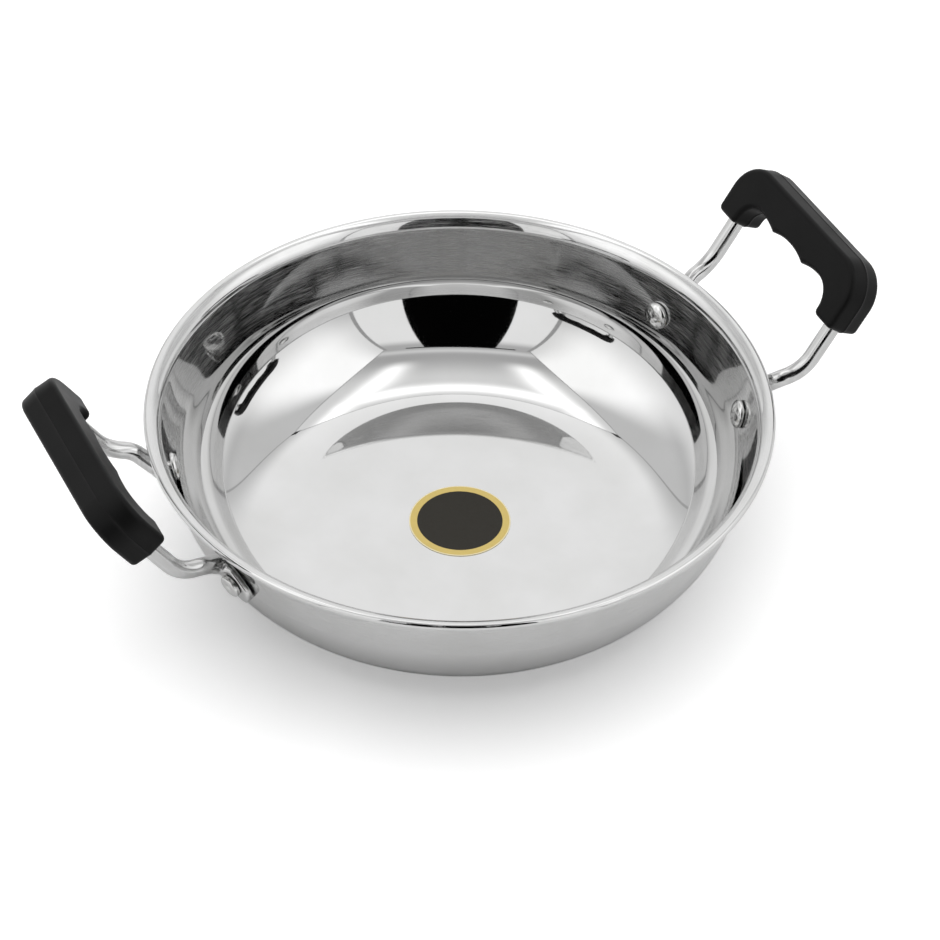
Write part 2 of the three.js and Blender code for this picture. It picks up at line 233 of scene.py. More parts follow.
ROLL_CENTRE = (RIM_RADIUS - ROLL_TOP, CREST - ROLL_TOP)
FLARE_CENTRE = sheet_point(ROLL_CENTRE, ROLL_TOP - FLARE_TOP, LIP_SLOPE)
NECK_TOP = sheet_point(FLARE_CENTRE, FLARE_TOP, NECK_SLOPE)
NECK_FOOT_HEIGHT = SHEET + BOWL_CURVE * (1 - math.cos(NECK_SLOPE))
NECK_FOOT_RADIUS = NECK_TOP[0] - (NECK_TOP[1] - NECK_FOOT_HEIGHT) / math.tan(NECK_SLOPE)
BOWL_CENTRE = (NECK_FOOT_RADIUS - BOWL_CURVE * math.sin(NECK_SLOPE), SHEET + BOWL_CURVE)


def arc(centre, distance, slopes):
    return [sheet_point(centre, distance, slope) for slope in slopes]


def sheet_skin(depth, bow):
    """One skin from the axis to the lip's edge, at a depth under the inside skin; bow hollows the neck."""
    floor = [(share * BOWL_CENTRE[0], SHEET - depth) for share in FLOOR_SHARES]
    wall = arc(BOWL_CENTRE, -(BOWL_CURVE + depth), np.linspace(0, NECK_SLOPE - bow, 57))
    flare = arc(FLARE_CENTRE, FLARE_TOP - depth, np.linspace(NECK_SLOPE + bow, LIP_SLOPE, 29))
    foot = np.array(wall[-1])
    run = np.array(flare[0]) - foot
    outward = np.array([run[1], -run[0]]) * math.tan(bow)
    neck = []
    for share in np.linspace(0, 1, 16)[1:-1]:
        neck.append(tuple(foot + share * run + share * (1 - share) * outward))
    roll = arc(ROLL_CENTRE, ROLL_TOP - depth, np.linspace(LIP_SLOPE, -math.pi / 2, 19))[1:]
    return floor + wall + neck + flare + roll


def bowl_profile():
    """Section of the bowl: the inside skin, the rounded edge, and the outside skin back to the axis."""
    inside = sheet_skin(0, NECK_BOW)
    outside = sheet_skin(SHEET, 0)
    edge_radius = SHEET / 2
    edge_height = inside[-1][1] - EDGE_DROP + edge_radius
    edge_centre = RIM_RADIUS - edge_radius
    edge = []
    for angle in np.linspace(0, math.pi, 9):
        outward = edge_radius * math.cos(angle)
        down = edge_radius * math.sin(angle)
        edge.append((edge_centre + outward, edge_height - down))
    return inside + edge + outside[::-1]


# Rivets
def rivet_frame(side):
    """A rivet's axes and place on the neck; the axes run outwards, round the bowl and up the wall."""
    height = NECK_FOOT_HEIGHT + RIVET_ABOVE_FOOT
    climb = height - (NECK_TOP[1] - SHEET * math.cos(NECK_SLOPE))
    radius = NECK_TOP[0] + SHEET * math.sin(NECK_SLOPE) + climb / math.tan(NECK_SLOPE)
    angle = side * math.asin(RIVET_SPREAD / radius)
    around = np.array([-math.sin(angle), math.cos(angle), 0])
    normal = np.array([math.cos(angle), math.sin(angle), 0]) * math.sin(NECK_SLOPE)
    normal[2] = -math.cos(NECK_SLOPE)
    axes = np.column_stack([normal, around, np.cross(normal, around)])
    place = np.array([radius * math.cos(angle), radius * math.sin(angle), height])
    return axes, place


def on_rivet(points, side):
    """Moves points whose z axis is the rivet's axis to their place on the neck."""
    axes, place = rivet_frame(side)
    return points[:, [2, 0, 1]] @ axes.T + place


def rivet_hole(side, turn):
    """The tool that cuts a rivet's hole; turn puts it on the left handle's side."""
    radius = SHANK_RADIUS + FIT_GAP
    profile = [(0, -HEAD_RADIUS), (radius, -HEAD_RADIUS), (radius, HOLE_REACH), (0, HOLE_REACH)]
    points, faces = lathe(profile, HOLE_STEPS)
    points = on_rivet(points, side) * (HALF_TURN if turn else 1)
    return mesh_object("hole", points, faces)


def rivet_points(side, seed):
    """A rivet with a beaten domed head inside the bowl and a dimpled end outside."""
    sag_around = HEAD_RADIUS ** 2 / (2 * NECK_FOOT_RADIUS)
    sag_below = max(0, HEAD_RADIUS - RIVET_ABOVE_FOOT) ** 2 / (2 * BOWL_CURVE)
    seat = -SHEET - max(sag_around, sag_below) - FIT_GAP
    tail_seat = TAB_THICKNESS + 2 * FIT_GAP
    tail_top = tail_seat + TAIL_HEIGHT
    dome = HEAD_HEIGHT - HEAD_EDGE
    profile = [(0, seat - HEAD_HEIGHT)]
    for angle in np.radians(np.linspace(86, 0, 18)):
        profile.append((HEAD_RADIUS * math.cos(angle), seat - HEAD_EDGE - dome * math.sin(angle)))
    profile += [(HEAD_RADIUS, seat - BROKEN_EDGE), (HEAD_RADIUS - BROKEN_EDGE, seat)]
    profile += [(SHANK_RADIUS, seat), (SHANK_RADIUS, tail_seat)]
    profile += [(TAIL_RADIUS - BROKEN_EDGE, tail_seat), (TAIL_RADIUS, tail_seat + BROKEN_EDGE)]
    shoulder = TAIL_HEIGHT / 3
    for angle in np.radians(np.linspace(0, 90, 9)):
        inward = shoulder * (1 - math.cos(angle))
        below_top = shoulder * (1 - math.sin(angle))
        profile.append((TAIL_RADIUS - inward, tail_top - below_top))
    profile += [(DIMPLE_RADIUS + DIMPLE_RIM, tail_top)]
    for share in np.linspace(0, 1, 9)[:-1]:
        depth = DIMPLE_DEPTH * (1 - math.cos(math.pi * share)) / 2
        profile.append((DIMPLE_RADIUS * (1 - share), tail_top - depth))
    profile.append((0, tail_top - DIMPLE_DEPTH))
    points, faces = lathe(profile, RIVET_STEPS)
    for point in points:
        beaten = noise.noise(Vector((point[0] * DENTS_PER_MM, point[1] * DENTS_PER_MM, seed)))
        if point[2] < seat - HEAD_EDGE:
            inside_edge = 1 - (point[0] ** 2 + point[1] ** 2) / HEAD_RADIUS ** 2
            point[2] += DENT_DEPTH * (beaten + 0.5) * inside_edge
    return on_rivet(points, side), faces


# Handle rods
def bent_path(corners, step):
    """Stations of place and direction along lines joined by bends; a corner is a place and a radius."""
    places = [np.asarray(corner[0], float) for corner in corners]
    stations = [(places[0], unit(places[1] - places[0]))]
    for i in range(1, len(corners) - 1):
        before = unit(places[i] - places[i - 1])
        after = unit(places[i + 1] - places[i])
        turn = math.acos(min(1, float(before @ after)))
        if turn < 1e-4:
            stations.append((places[i], before))
            continue
        bend = corners[i][1]
        side = unit(after - before * math.cos(turn))
        centre = places[i] - before * bend * math.tan(turn / 2) + side * bend
        for angle in np.linspace(0, turn, math.ceil(turn / step) + 1):
            place = centre - side * bend * math.cos(angle) + before * bend * math.sin(angle)
            stations.append((place, before * math.cos(angle) + side * math.sin(angle)))
    stations.append((places[-1], unit(places[-1] - places[-2])))
    return stations


def finer(stations, longest):
    """The same path with more stations on its straight runs."""
    result = [stations[0]]
    for (place, direction), (before, heading) in zip(stations[1:], stations):
        parts = math.ceil(np.linalg.norm(place - before) / longest)
        for part in range(1, parts):
            share = part / parts
            between = unit(heading + share * (direction - heading))
            result.append((before + share * (place - before), between))
        result.append((place, direction))
    return result


def rod_section(station, rounded, width, thickness, sides):
    """Ring of points round a station; rounded runs from 0 on the flat tab to 1 on the plain rod."""
    place, direction = station
    axes, _ = rivet_frame(1 if place[1] > 0 else -1)
    normal, up_wall = axes[:, 0], axes[:, 2]
    flat_across = -unit(normal - direction * (normal @ direction))
    round_across = unit(np.cross(direction, up_wall))
    across = unit(flat_across + rounded * (round_across - flat_across))
    along = np.cross(across, direction)
    power = 2 / (TAB_SQUARENESS + rounded * (2 - TAB_SQUARENESS))
    angles = 2 * math.pi * (np.arange(sides) + 0.5) / sides
    wide = np.sign(np.cos(angles)) * np.abs(np.cos(angles)) ** power
    deep = np.sign(np.sin(angles)) * np.abs(np.sin(angles)) ** power
    return place + np.outer(width / 2 * wide, along) + np.outer(thickness / 2 * deep, across)


def half_rod_corners():
    """Corners of half a rod's path, from the tab's rounded tip to the crossbar's corner."""
    axes, origin = rivet_frame(1)

    def on_tab(along, lift):
        down_wall = along * math.sin(TAB_SLOPE)
        return axes @ np.array([lift, along * math.cos(TAB_SLOPE), -down_wall]) + origin

    lift = FIT_GAP + TAB_THICKNESS / 2
    corners = []
    for degrees in TIP_DEGREES:
        past = TAB_TIP - TAB_WIDTH / 2 * (1 - math.sin(math.radians(degrees)))
        corners.append((on_tab(past, lift), 0))
    corners.append((on_tab(-TAB_FLAT, lift), ROD_RADIUS))
    corners.append((on_tab(-TAB_ROOT, FIT_GAP + ROD_RADIUS), ROOT_BEND))
    under_rim = np.array([RIM_RADIUS, LEG_HALF - CROSSING_IN, CREST - CROSSING_DROP])
    corners.append((under_rim, CROSSING_BEND))
    corners.append((ELBOW, ELBOW_BEND))
    corners.append((BAR_CORNER, BAR_BEND))
    return corners


def both_halves(half):
    """The corners of a whole path from those of its half."""
    return half + [(place * OTHER_SIDE, bend) for place, bend in reversed(half)]


def rod_points():
    """Points and faces of a rod, flat at its tabs and round from the bend above them."""
    half = half_rod_corners()
    stations = finer(bent_path(both_halves(half), math.radians(4)), 1.5)
    lengths = [np.linalg.norm(b[0] - a[0]) for a, b in zip(stations, stations[1:])]
    travelled = np.concatenate([[0], np.cumsum(lengths)])
    tip = TAB_WIDTH / 2 * (1 - math.sin(math.radians(TIP_DEGREES[0])))
    flat_end = TAB_TIP + TAB_FLAT
    blend = np.linalg.norm(half[-5][0] - half[-4][0])
    rings = []
    for station, way in zip(stations, travelled):
        from_tip = tip + min(way, travelled[-1] - way)
        rounded = min(1, max(0, (from_tip - flat_end) / blend))
        in_tip = max(0, 1 - from_tip / (TAB_WIDTH / 2))
        tab_width = TAB_WIDTH * math.sqrt(1 - in_tip ** 2)
        width = tab_width + rounded * (ROD_DIAMETER - tab_width)
        thickness = TAB_THICKNESS + rounded * (ROD_DIAMETER - TAB_THICKNESS)
        rings.append(rod_section(station, rounded, width, thickness, ROD_SIDES))
    return loft(rings)


# Grips and label
def rod_channel(turn):
    """The tool that cuts the rod's bore into a grip."""
    half = [(ELBOW, 0), (BAR_CORNER, BAR_BEND)]
    bore = ROD_DIAMETER + 2 * FIT_GAP
    stations = bent_path(both_halves(half), math.radians(6))
    rings = [rod_section(station, 1, bore, bore, ROD_SIDES) for station in stations]
    points, faces = loft(rings)
    return mesh_object("channel", points * (HALF_TURN if turn else 1), faces)


def round_part(centre, radius, start, end, parts):
    """Points along part of a circle."""
    angles = np.linspace(start, end, parts + 1)
    return [(centre[0] + radius * math.cos(a), centre[1] + radius * math.sin(a)) for a in angles]


def grip_outline():
    """Counterclockwise outline at the parting plane, x along the crossbar and y up the legs."""
    outside = LEG_HALF + GRIP_LEG_WIDTH / 2
    inside = LEG_HALF - GRIP_LEG_WIDTH / 2
    top = BAR_REACH + GRIP_COVER
    hollow = top - GRIP_DEPTH
    inner = GRIP_INNER_CORNER
    corner = GRIP_INSET + GRIP_EDGE + FIT_GAP
    leg_end = hollow - inner - GRIP_LEG_STRAIGHT
    pitch = inside - inner
    hollow_radius = (pitch ** 2 / 4 + HOLLOW_DEPTH ** 2) / (2 * HOLLOW_DEPTH)
    low = hollow - hollow_radius
    sweep = math.asin(pitch / 2 / hollow_radius)
    right = math.pi / 2
    half = round_part((0, low), hollow_radius, right, right - sweep, 10)
    half += round_part((pitch, low), hollow_radius, right + sweep, right, 10)[1:]
    half += round_part((inside - inner, hollow - inner), inner, right, 0, 14)[1:]
    half += round_part((inside + corner, leg_end), corner, 2 * right, 3 * right, 8)
    half += round_part((outside - corner, leg_end), corner, -right, 0, 8)
    for share in (0.25, 0.5, 0.75):
        half.append((outside, leg_end + share * (top - GRIP_CORNER - leg_end)))
    half += round_part((outside - GRIP_CORNER, top - GRIP_CORNER), GRIP_CORNER, 0, right, 20)
    half += [((outside - GRIP_CORNER) * share, top) for share in (0.75, 0.5, 0.25)]
    other = [(-x, y) for x, y in reversed(half[1:])]
    return np.array(half + [(0, top)] + other)


def inset_outline(outline, inset):
    """The outline drawn in by an equal distance all round."""
    before = outline - np.roll(outline, 1, 0)
    before /= np.linalg.norm(before, axis=1)[:, None]
    after = np.roll(before, -1, 0)
    mitre = np.stack([-before[:, 1] - after[:, 1], before[:, 0] + after[:, 0]], 1)
    mitre /= np.linalg.norm(mitre, axis=1)[:, None]
    reach = inset / (mitre[:, 1] * before[:, 0] - mitre[:, 0] * before[:, 1])
    return outline + mitre * reach[:, None]


def grip_points():
    """Points and faces of a grip: its outline drawn in by the draft and the round edge, level by level."""
    half = [(RIDGE_HALF, RIDGE_HEIGHT)]
    for share in (0.2, 0.5, 0.8):
        half.append((GRIP_SIDE * share, RIDGE_HEIGHT + (GRIP_INSET - RIDGE_HEIGHT) * share))
    for angle in np.radians(np.linspace(0, 90, 9)):
        level = GRIP_SIDE + GRIP_EDGE * math.sin(angle)
        half.append((level, GRIP_INSET + GRIP_EDGE * (1 - math.cos(angle))))
    half.append((GRIP_THICKNESS / 2, GRIP_INSET + GRIP_EDGE + FACE_STEP))
    section = [(-level, inset) for level, inset in reversed(half)] + [(0, 0)] + half
    outline = grip_outline()
    across = np.cross([0, 1, 0], LEG_DIRECTION)
    rings = []
    for level, inset in section:
        ring = inset_outline(outline, inset)
        place = np.array([ELBOW[0], 0, ELBOW[2]]) + level * across
        rings.append(place + np.outer(ring[:, 0], [0, 1, 0]) + np.outer(ring[:, 1], LEG_DIRECTION))
    return loft(rings)


def label_points():
    """Points and faces of a thin disc with a soft upper edge."""
    edge = LABEL_THICKNESS / 3
    base = SHEET
    top = SHEET + LABEL_THICKNESS
    profile = [(0, base), (LABEL_RADIUS, base), (LABEL_RADIUS, top - edge)]
    profile += [(LABEL_RADIUS - edge * 0.3, top - edge * 0.3), (LABEL_RADIUS - edge, top)]
    profile += [(LABEL_RADIUS * share, top) for share in (0.93, 0.8, 0.6, 0.3)] + [(0, top)]
    points, faces = lathe(profile, LABEL_STEPS)
    return points - [0, LABEL_FORWARD, 0], faces


# Materials
def new_material(name):
    material = bpy.data.materials.new(name)
    material.use_nodes = True
    tree = material.node_tree
    return material, tree, tree.nodes["Principled BSDF"]


def add_node(tree, kind, inputs, **settings):
    """A new node; each input is a value or the output of another node."""
    node = tree.nodes.new("ShaderNode" + kind)
    for key, value in settings.items():
        setattr(node, key, value)
    for socket, value in inputs.items():
        if isinstance(value, bpy.types.NodeSocket):
            tree.links.new(value, node.inputs[socket])
        else:
            node.inputs[socket].default_value = value
    return node


def object_place(tree):
    """The place on the object, and its x, y and z."""
    place = add_node(tree, "TexCoord", {}).outputs["Object"]
    return place, add_node(tree, "SeparateXYZ", {0: place}).outputs


def noise_value(tree, vector, scale, detail):
    inputs = {"Vector": vector, "Scale": scale, "Detail": detail}
    return add_node(tree, "TexNoise", inputs).outputs["Fac"]


def ring_noise(tree, round_axis, across, per_metre, detail):
    """Noise drawn out into rings round the axis; across runs from ring to ring."""
    way = add_node(tree, "Math", {0: across, 1: per_metre}, operation="MULTIPLY").outputs["Value"]
    inputs = {"Vector": round_axis, "W": way, "Scale": 1, "Detail": detail}
    return add_node(tree, "TexNoise", inputs, noise_dimensions="4D").outputs["Fac"]


def map_range(tree, value, start, end, low, high):
    """Carries a value's range from start to end over to the range from low to high."""
    inputs = {"Value": value, "From Min": start, "From Max": end, "To Min": low, "To Max": high}
    return add_node(tree, "MapRange", inputs).outputs["Result"]


def spread(tree, value, low, high):
    """Stretches the middle of a noise to a range."""
    return map_range(tree, value, start=0.3, end=0.7, low=low, high=high)


def shades(tree, value, dark, light):
    """A colour between two by a noise's value."""
    ramp = add_node(tree, "ValToRGB", {"Fac": value})
    ends = ramp.color_ramp.elements
    ends[0].position = 0.3
    ends[0].color = (*dark, 1)
    ends[1].position = 0.7
    ends[1].color = (*light, 1)
    return ramp.outputs["Color"]


def bumps(tree, layers):
    """A normal with layers of (height, distance) laid over each other."""
    normal = None
    for height, distance in layers:
        inputs = {"Height": height, "Distance": distance, "Strength": 1}
        if normal:
            inputs["Normal"] = normal
        normal = add_node(tree, "Bump", inputs).outputs["Normal"]
    return normal


def set_shader(tree, shader, inputs):
    for socket, value in inputs.items():
        if isinstance(value, bpy.types.NodeSocket):
            tree.links.new(value, shader.inputs[socket])
        else:
            shader.inputs[socket].default_value = value


def mirror_steel():
    """Polished, slightly wavy sheet with lines round the axis and fine dull ones on the neck and lip."""
    material, tree, shader = new_material("mirror_steel")
    place, (x, y, z) = object_place(tree)
    flat = add_node(tree, "CombineXYZ", {"X": x, "Y": y}).outputs["Vector"]
    radius = add_node(tree, "VectorMath", {0: flat}, operation="LENGTH").outputs["Value"]
    heading = add_node(tree, "VectorMath", {0: flat}, operation="NORMALIZE").outputs["Vector"]
    inputs = {0: heading, "Scale": 9}
    round_axis = add_node(tree, "VectorMath", inputs, operation="SCALE").outputs["Vector"]
    across = add_node(tree, "Math", {0: radius, 1: z}, operation="ADD").outputs["Value"]
    lines = ring_noise(tree, round_axis, across, per_metre=1900, detail=2)
    scratches = ring_noise(tree, round_axis, across, per_metre=24000, detail=1)
    haze = noise_value(tree, place, scale=34, detail=4)
    waves = noise_value(tree, place, scale=17, detail=0)
    dull = map_range(tree, scratches, start=0.56, end=0.62, low=0, high=0.5)
    on_neck = map_range(tree, z, start=36 * MM, end=43 * MM, low=0, high=1)
    duller = add_node(tree, "Math", {0: dull, 1: on_neck}, operation="MULTIPLY").outputs["Value"]
    inputs = {0: spread(tree, lines, low=0.02, high=0.045), 1: duller}
    roughness = add_node(tree, "Math", inputs, operation="ADD").outputs["Value"]
    set_shader(tree, shader, {
        "Base Color": shades(tree, haze, (0.595, 0.595, 0.59), (0.64, 0.64, 0.64)),
        "Metallic": 1,
        "Roughness": roughness,
        "Normal": bumps(tree, [(waves, 0.00003)]),
    })
    return material


def drawn_steel():
    """Bright rod with lines drawn along it."""
    material, tree, shader = new_material("drawn_steel")
    place, (x, y, z) = object_place(tree)
    outward = add_node(tree, "Math", {0: x}, operation="ABSOLUTE").outputs["Value"]
    half = add_node(tree, "CombineXYZ", {"X": outward, "Y": y, "Z": z}).outputs["Vector"]
    inputs = {0: half, 1: (30, 1500, 30)}
    drawn = add_node(tree, "VectorMath", inputs, operation="MULTIPLY").outputs["Vector"]
    lines = noise_value(tree, drawn, scale=1, detail=3)
    haze = noise_value(tree, place, scale=120, detail=3)
    set_shader(tree, shader, {
        "Base Color": shades(tree, lines, (0.5, 0.5, 0.495), (0.62, 0.62, 0.62)),
        "Metallic": 1,
        "Roughness": spread(tree, haze, low=0.1, high=0.19),
        "Normal": bumps(tree, [(lines, 0.000012)]),
    })
    return material


def beaten_steel():
    """Rivet steel with small dents from setting."""
    material, tree, shader = new_material("beaten_steel")
    place, _ = object_place(tree)
    dents = noise_value(tree, place, scale=420, detail=1)
    haze = noise_value(tree, place, scale=900, detail=3)
    set_shader(tree, shader, {
        "Base Color": shades(tree, haze, (0.58, 0.58, 0.57), (0.7, 0.7, 0.695)),
        "Metallic": 1,
        "Roughness": spread(tree, haze, low=0.1, high=0.22),
        "Normal": bumps(tree, [(dents, 0.00025)]),
    })
    return material


def black_phenolic():
    """Satin black moulding with a fine grain."""
    material, tree, shader = new_material("black_phenolic")
    place, _ = object_place(tree)
    grain = noise_value(tree, place, scale=1500, detail=2)
    patches = noise_value(tree, place, scale=60, detail=3)
    set_shader(tree, shader, {
        "Base Color": shades(tree, patches, (0.004, 0.004, 0.004), (0.007, 0.007, 0.007)),
        "Roughness": spread(tree, patches, low=0.36, high=0.46),
        "Specular IOR Level": 0.1,
        "Normal": bumps(tree, [(grain, 0.00002)]),
    })
    return material


def label_print():
    """Black label with a gold ring inside a pale edge."""
    material, tree, shader = new_material("label_print")
    place, _ = object_place(tree)
    middle = {0: place, 1: (0, -LABEL_FORWARD * MM, (SHEET + LABEL_THICKNESS) * MM)}
    reach = add_node(tree, "VectorMath", middle, operation="DISTANCE").outputs["Value"]
    share = add_node(tree, "Math", {0: reach, 1: LABEL_RADIUS * MM}, operation="DIVIDE").outputs["Value"]
    ramp = add_node(tree, "ValToRGB", {"Fac": share})
    bands = ramp.color_ramp
    black = (0.016, 0.014, 0.01, 1)
    gold = (0.6, 0.46, 0.15, 1)
    cream = (0.78, 0.7, 0.46, 1)
    bands.elements[0].position = 0.837
    bands.elements[0].color = black
    bands.elements[1].position = 0.845
    bands.elements[1].color = gold
    for position, color in ((0.972, gold), (0.98, cream)):
        bands.elements.new(position).color = color
    fibre = noise_value(tree, place, scale=1200, detail=3)
    set_shader(tree, shader, {
        "Base Color": ramp.outputs["Color"],
        "Roughness": spread(tree, fibre, low=0.32, high=0.48),
        "Specular IOR Level": 0.2,
        "Normal": bumps(tree, [(fibre, 0.000012)]),
    })
    return material


def in_view(tree):
    """1 for what the camera sees itself, in reflections or through glass, and 0 for light on the object."""
    path = add_node(tree, "LightPath", {}).outputs
    inputs = {0: path["Is Camera Ray"], 1: path["Is Glossy Ray"]}
    seen = add_node(tree, "Math", inputs, operation="MAXIMUM").outputs["Value"]
    inputs = {0: seen, 1: path["Is Transmission Ray"]}
    return add_node(tree, "Math", inputs, operation="MAXIMUM").outputs["Value"]


def white_floor():
    """Pale floor that shows white to the camera and in reflections, and keeps the shadow."""
    material, tree, shader = new_material("floor_white")
    lift_in_view = 0.31
    lift_in_mirror = 0.03
    path = add_node(tree, "LightPath", {}).outputs
    inputs = {0: path["Is Glossy Ray"], 1: path["Is Transmission Ray"]}
    mirrored = add_node(tree, "Math", inputs, operation="MAXIMUM").outputs["Value"]
    inputs = {0: mirrored, 1: lift_in_mirror}
    mirrored = add_node(tree, "Math", inputs, operation="MULTIPLY").outputs["Value"]
    inputs = {0: path["Is Camera Ray"], 1: lift_in_view}
    seen = add_node(tree, "Math", inputs, operation="MULTIPLY").outputs["Value"]
    lift = add_node(tree, "Math", {0: seen, 1: mirrored}, operation="ADD").outputs["Value"]
    set_shader(tree, shader, {
        "Base Color": (0.93, 0.93, 0.93, 1),
        "Roughness": 1,
        "Specular IOR Level": 0,
        "Emission Color": (1, 1, 1, 1),
        "Emission Strength": lift,
    })
    return material


def panel_white():
    """White glow whose strength is kept in the panel's mesh."""
    material, tree, shader = new_material("panel_white")
    glow = add_node(tree, "Attribute", {}, attribute_name="glow").outputs["Fac"]
    set_shader(tree, shader, {
        "Base Color": (0, 0, 0, 1),
        "Specular IOR Level": 0,
        "Emission Color": (1, 1, 1, 1),
        "Emission Strength": glow,
    })
    return material


FINISHES = {
    "bowl_steel": mirror_steel(),
    "rod_steel": drawn_steel(),
    "rivet_steel": beaten_steel(),
    "grip_black": black_phenolic(),
    "label_face": label_print(),
}


# Pieces
def place_piece(obj, slot, node):
    """Gives a piece its finish and puts it in the place of a CAD node."""
    obj.data.materials.clear()
    obj.data.materials.append(FINISHES[slot])
    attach(obj, "root")
    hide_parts(node)


bowl = mesh_object("polished_bowl", *lathe(bowl_profile(), BOWL_STEPS))
cut(bowl, [rivet_hole(side, turn) for side in (-1, 1) for turn in (False, True)])
smooth(bowl, 40)
place_piece(bowl, "bowl_steel", "pan_body")

for hand, turn in (("right", False), ("left", True)):
    facing = HALF_TURN if turn else np.ones(3)
    points, faces = rod_points()
    rod = mesh_object(f"bent_rod_{hand}", points * facing, faces)
    cut(rod, [rivet_hole(side, turn) for side in (-1, 1)])
    smooth(rod, 35)
    place_piece(rod, "rod_steel", f"handle_rod_{hand}")
    points, faces = grip_points()
    grip = mesh_object(f"moulded_grip_{hand}", points * facing, faces)
    cut(grip, [rod_channel(turn)])
    smooth(grip, 35)
    place_piece(grip, "grip_black", f"handle_grip_{hand}")
    for side in (-1, 1):
        end = "front" if (side > 0) == turn else "back"
        seed = 3.7 * side + (9 if turn else 0)
        points, faces = rivet_points(side, seed)
        rivet = mesh_object(f"domed_rivet_{hand}_{end}", points * facing, faces)
        smooth(rivet, 45)
        place_piece(rivet, "rivet_steel", f"rivet_{hand}_{end}")

label = mesh_object("round_label", *label_points())
smooth(label, 50)
place_piece(label, "label_face", "label_disc")

# Camera
camera = bpy.data.objects.new("camera", bpy.data.cameras.new("camera"))
scene.collection.objects.link(camera)
camera.data.sensor_width = 36
camera.data.lens = 115.07
camera.data.clip_end = 50
camera_right = Vector((0.89658, -0.44267, 0.01355)).normalized()
camera_forward = Vector((0.33474, 0.65729, -0.67521)).normalized()
camera_up = camera_right.cross(camera_forward).normalized()
camera_right = camera_forward.cross(camera_up)
turned = Matrix((camera_right, camera_up, -camera_forward)).transposed()
camera_place = (-0.4059, -0.8070, 0.8552)
camera.matrix_world = Matrix.Translation(camera_place) @ turned.to_4x4()
scene.camera = camera

# Studio: even white light and a white floor
scene.view_settings.view_transform = "Standard"
world = bpy.data.worlds.new("studio")
world.use_nodes = True
sky = world.node_tree
sky_white = sky.nodes["Background"].inputs
sky_white["Color"].default_value = (1, 1, 1, 1)
sky_light = map_range(sky, in_view(sky), start=0, end=1, low=0.2, high=1)
sky.links.new(sky_light, sky_white["Strength"])
scene.world = world
FLOOR_HALF = 4
floor_corners = []
for x, y in ((-1, -1), (1, -1), (1, 1), (-1, 1)):
    floor_corners.append((x * FLOOR_HALF, y * FLOOR_HALF, 0))
floor_mesh = bpy.data.meshes.new("floor")
floor_mesh.from_pydata(floor_corners, [], [(0, 1, 2, 3)])
floor = bpy.data.objects.new("floor", floor_mesh)
scene.collection.objects.link(floor)
floor.data.materials.append(white_floor())

# Broad soft lamp overhead, not seen in reflections, where the tent's own lamps are
lamp = bpy.data.objects.new("lamp", bpy.data.lights.new("lamp", "SUN"))
lamp.data.angle = math.radians(76)
lamp.data.energy = 2.5
lamp.rotation_euler = Vector((0.03, 0.1, 1)).to_track_quat("Z", "Y").to_euler()
lamp.visible_glossy = False
scene.collection.objects.link(lamp)

# Light tent in metres, x to the camera's right and y away from it; only reflections show it
TENT_TURN = math.radians(26.7)
TENT_LIGHT = 1.12
TENT_LEFT = -0.82
TENT_RIGHT = 0.92
TENT_FRONT = -0.91
TENT_BACK = 1.10
TENT_TOP = 2.0
OPENING_LEFT = -0.38
OPENING_RIGHT = 0.40
PANEL_WHITE = panel_white()


def rise(value, low, high):
    """A smooth step from 0 at low to 1 at high."""
    share = np.clip((value - low) / (high - low), 0, 1)
    return share * share * (3 - 2 * share)


def tent_panel(name, corner, across, up, glow, steps=40):
    """A flat panel from a corner along two edges; glow gives its strength from the shares along them."""
    shares = np.linspace(0, 1, steps + 1)
    u, v = np.meshgrid(shares, shares, indexing="ij")
    u, v = u.ravel(), v.ravel()
    places = np.array(corner) + np.outer(u, across) + np.outer(v, up)
    cosine = math.cos(TENT_TURN)
    sine = math.sin(TENT_TURN)
    turn = np.array([[cosine, -sine, 0], [sine, cosine, 0], [0, 0, 1]])
    faces = []
    for i in range(steps):
        for j in range(steps):
            start = i * (steps + 1) + j
            faces.append((start, start + steps + 1, start + steps + 2, start + 1))
    mesh = bpy.data.meshes.new(name)
    mesh.from_pydata((places @ turn).tolist(), [], faces)
    strengths = np.asarray(TENT_LIGHT * glow(u, v), dtype=np.float32)
    mesh.attributes.new("glow", "FLOAT", "POINT").data.foreach_set("value", strengths)
    mesh.materials.append(PANEL_WHITE)
    panel = bpy.data.objects.new(name, mesh)
    scene.collection.objects.link(panel)
    panel.visible_camera = False
    panel.visible_diffuse = False
    panel.visible_shadow = False


def side_glow(u, v):
    """Brighter upwards and away from the front edge, greyer at the back."""
    low_to_high = 0.85 + 0.55 * rise(v, 0, 0.4)
    grey_back = 0.5 * rise(u, 0.48, 0.72) * rise(v, 0.1, 0.28)
    return low_to_high * (0.7 + 0.3 * rise(u, 0, 0.25)) * (1 - grey_back)


def front_glow(u, v):
    """Even, and greyer near the ceiling."""
    return 1.05 - 0.5 * rise(v, 0.68, 0.9)


def back_glow(u, v):
    """Slightly brighter upwards and greyer towards both sides."""
    return (0.95 + 0.2 * v) * (1 - 0.35 * rise(np.abs(2 * u - 1), 0.5, 1))


def bell(value, middle, width):
    """A smooth hump of height 1."""
    return np.exp(-((value - middle) / width) ** 2)


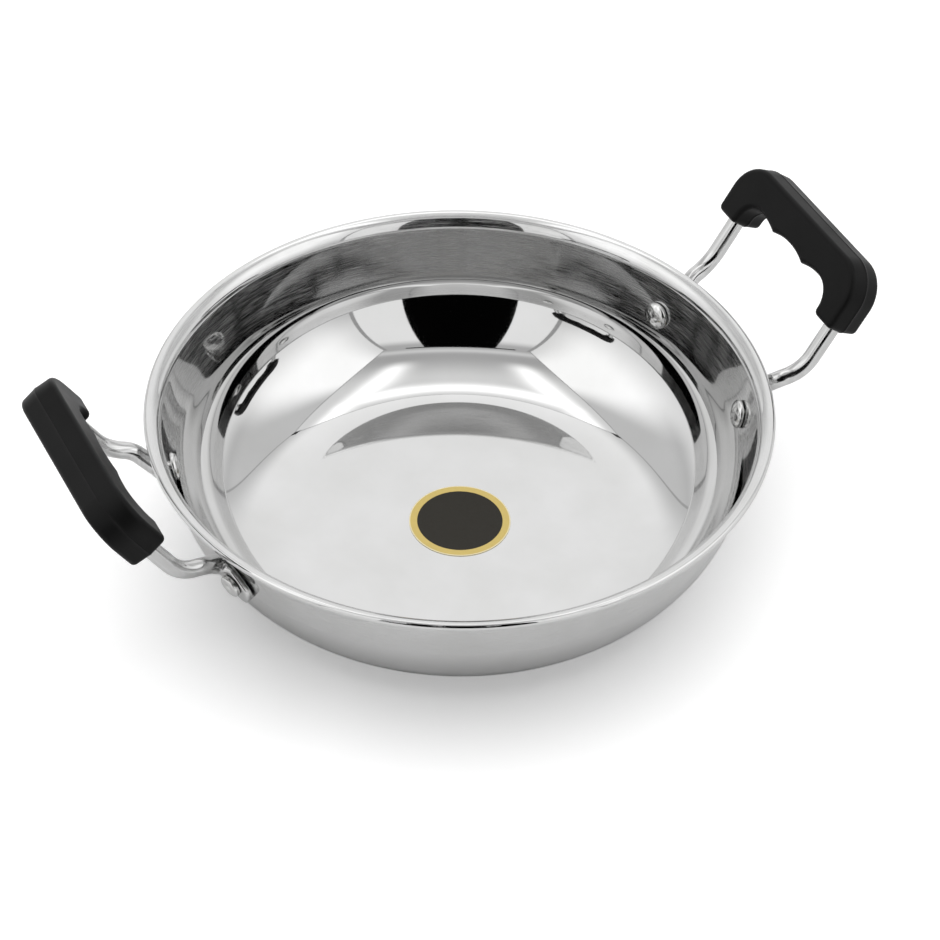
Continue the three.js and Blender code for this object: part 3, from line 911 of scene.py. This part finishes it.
def ceiling_glow(u, v):
    """Soft lamps along both sides and across the back, and a faint strip at the front."""
    x = TENT_LEFT + u * (TENT_RIGHT - TENT_LEFT)
    y = TENT_FRONT + v * (TENT_BACK - TENT_FRONT)
    side_lamps = bell(np.abs(x), middle=0.52, width=0.13) * rise(y, -0.45, -0.1)
    back_lamp = bell(y, middle=0.77, width=0.18) * (1 - rise(np.abs(x), 0.55, 0.75))
    front_strip = bell(y, middle=-0.76, width=0.09)
    front_to_back = 0.5 + 0.38 * rise(y, -0.55, 0.35)
    return front_to_back + 0.3 * front_strip + 0.95 * np.maximum(side_lamps, back_lamp)


def even_glow(strength):
    """The same strength all over."""
    return lambda u, v: np.full_like(u, strength)


BACKWARD = (0, TENT_BACK - TENT_FRONT, 0)
ACROSS = (TENT_RIGHT - TENT_LEFT, 0, 0)
UPWARD = (0, 0, TENT_TOP)
tent_panel("tent_left", (TENT_LEFT, TENT_FRONT, 0), BACKWARD, UPWARD, side_glow)
tent_panel("tent_right", (TENT_RIGHT, TENT_FRONT, 0), BACKWARD, UPWARD, side_glow)
tent_panel("tent_back", (TENT_LEFT, TENT_BACK, 0), ACROSS, UPWARD, back_glow)
tent_panel("tent_ceiling", (TENT_LEFT, TENT_FRONT, TENT_TOP), ACROSS, BACKWARD, ceiling_glow, 80)
for name, left, right, glow, steps in (
    ("front_left", TENT_LEFT, OPENING_LEFT, front_glow, 40),
    ("front_right", OPENING_RIGHT, TENT_RIGHT, front_glow, 40),
    ("opening", OPENING_LEFT, OPENING_RIGHT, even_glow(0.001), 1),
):
    tent_panel(f"tent_{name}", (left, TENT_FRONT, 0), (right - left, 0, 0), UPWARD, glow, steps)

# Dark gap above the opening, dark seams and dark back corners, each a little inside the tent
SEAM_INSIDE = 0.004
DARK_INSIDE = 0.006
SEAM = 0.028
FRONT_SEAM = 0.05
CORNER = 0.1
GAP_HALF = 0.62
GAP_HEIGHT = 0.07
gap_start = (-GAP_HALF, TENT_FRONT + DARK_INSIDE, TENT_TOP - GAP_HEIGHT)
tent_panel("tent_gap_above", gap_start, (2 * GAP_HALF, 0, 0), (0, 0, GAP_HEIGHT), even_glow(0.02), 1)
for name, x, inward in (("left", TENT_LEFT, 1), ("right", TENT_RIGHT, -1)):
    start = (x + inward * SEAM_INSIDE, TENT_FRONT, TENT_TOP - SEAM)
    tent_panel(f"tent_seam_{name}", start, BACKWARD, (0, 0, SEAM), even_glow(0.3), 1)
    start = (x, TENT_BACK - SEAM_INSIDE, 0)
    tent_panel(f"tent_seam_back_{name}", start, (inward * SEAM, 0, 0), UPWARD, even_glow(0.45), 1)
    start = (x, TENT_FRONT + SEAM_INSIDE, 0)
    tent_panel(f"tent_seam_front_{name}", start, (inward * FRONT_SEAM, 0, 0), UPWARD, even_glow(0.4), 1)
    start = (x, TENT_BACK - DARK_INSIDE, TENT_TOP - CORNER)
    tent_panel(f"tent_corner_{name}", start, (inward * CORNER, 0, 0), (0, 0, CORNER), even_glow(0.05), 1)
start = (TENT_LEFT, TENT_BACK - SEAM_INSIDE, TENT_TOP - SEAM)
tent_panel("tent_seam_back", start, ACROSS, (0, 0, SEAM), even_glow(0.45), 1)
